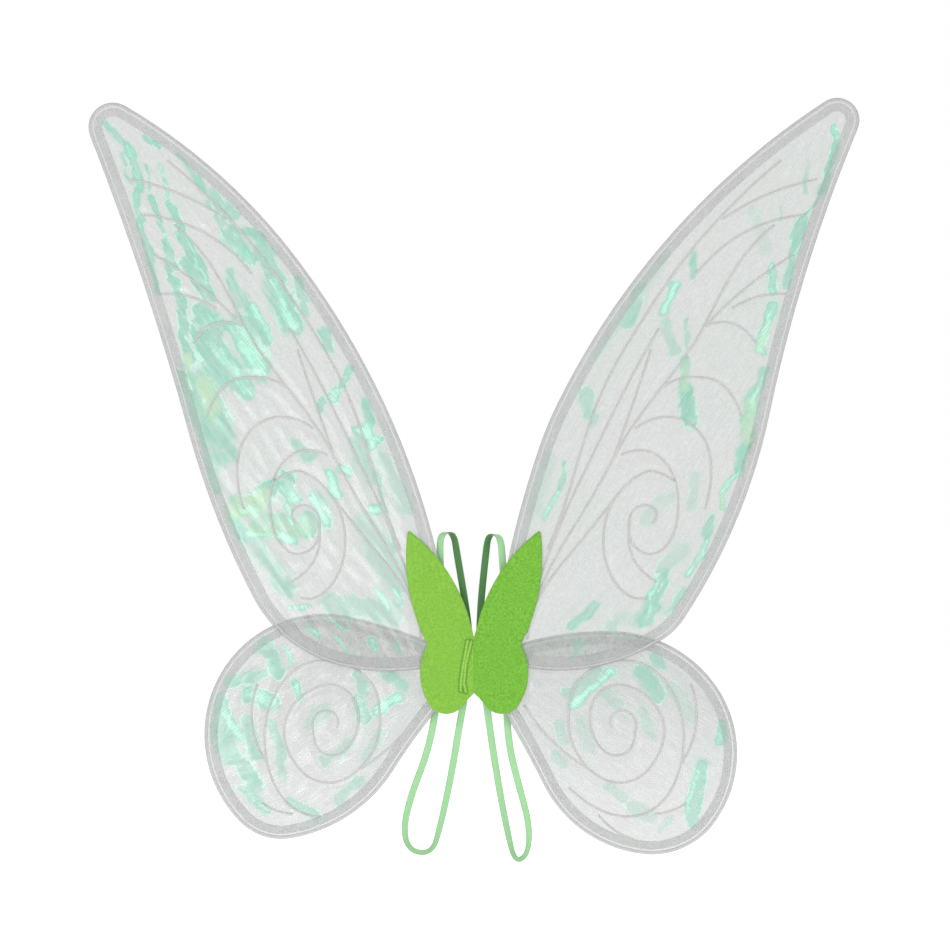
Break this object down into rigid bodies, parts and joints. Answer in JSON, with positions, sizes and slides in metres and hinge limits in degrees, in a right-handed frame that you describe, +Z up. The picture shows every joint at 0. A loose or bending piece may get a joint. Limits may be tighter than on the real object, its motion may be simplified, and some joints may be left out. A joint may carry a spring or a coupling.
{
  "type": "fairy wings",
  "caption": "Costume fairy wings: film on bent wire frames with folded hems and raised veins, a felt cover over the roots, elastic arm loops; each side folds forward.",
  "frame": {"origin": "centre of the back cover's rear face, which rests against the wearer's back", "axes": "+X across the wings to the right of the decorated face as it is looked at, +Y backward out of the back cover towards the wearer, +Z up; the decorated faces look along -Y"},
  "size_m": [0.693, 0.0124, 0.6892],
  "materials": {
    "wire_coating": "white coated soft steel wire",
    "hem_fabric": "sheer folded hem with fine woven lines",
    "iridescent_film": "thin crinkled iridescent film, mint and aqua in places",
    "organza": "sheer fine mesh",
    "vein_print": "raised translucent grey print",
    "binding_tape": "cotton tape",
    "lime_felt": "fuzzy lime green felt",
    "mint_elastic": "ribbed mint green elastic band",
    "thread": "sewing thread"
  },
  "bodies": {
    "hub": {"back_cover": "lime_felt", "strap_tacks": "thread", "centre_binding": "binding_tape", "front_cover_fold": "lime_felt", "left_strap": "mint_elastic", "right_strap": "mint_elastic"},
    "left_wings": {"left_upper_wire": "wire_coating", "left_upper_hem": "hem_fabric", "left_upper_film": "iridescent_film", "left_upper_mesh": "organza", "left_upper_veins": "vein_print", "left_lower_wire": "wire_coating", "left_lower_hem": "hem_fabric", "left_lower_film": "iridescent_film", "left_lower_mesh": "organza", "left_lower_veins": "vein_print", "left_root_binding": "binding_tape", "left_front_cover": "lime_felt"},
    "right_wings": {"right_upper_wire": "wire_coating", "right_upper_hem": "hem_fabric", "right_upper_film": "iridescent_film", "right_upper_mesh": "organza", "right_upper_veins": "vein_print", "right_lower_wire": "wire_coating", "right_lower_hem": "hem_fabric", "right_lower_film": "iridescent_film", "right_lower_mesh": "organza", "right_lower_veins": "vein_print", "right_root_binding": "binding_tape", "right_front_cover": "lime_felt"}
  },
  "joints": [
    {"name": "left_fold", "type": "hinge", "parent": "hub", "child": "left_wings", "pos_m": [-0.004, -0.0124, 0], "axis": [0, 0, 1], "range_deg": [0, 85]},
    {"name": "right_fold", "type": "hinge", "parent": "hub", "child": "right_wings", "pos_m": [0.004, -0.0124, 0], "axis": [0, 0, -1], "range_deg": [0, 85]}
  ]
}
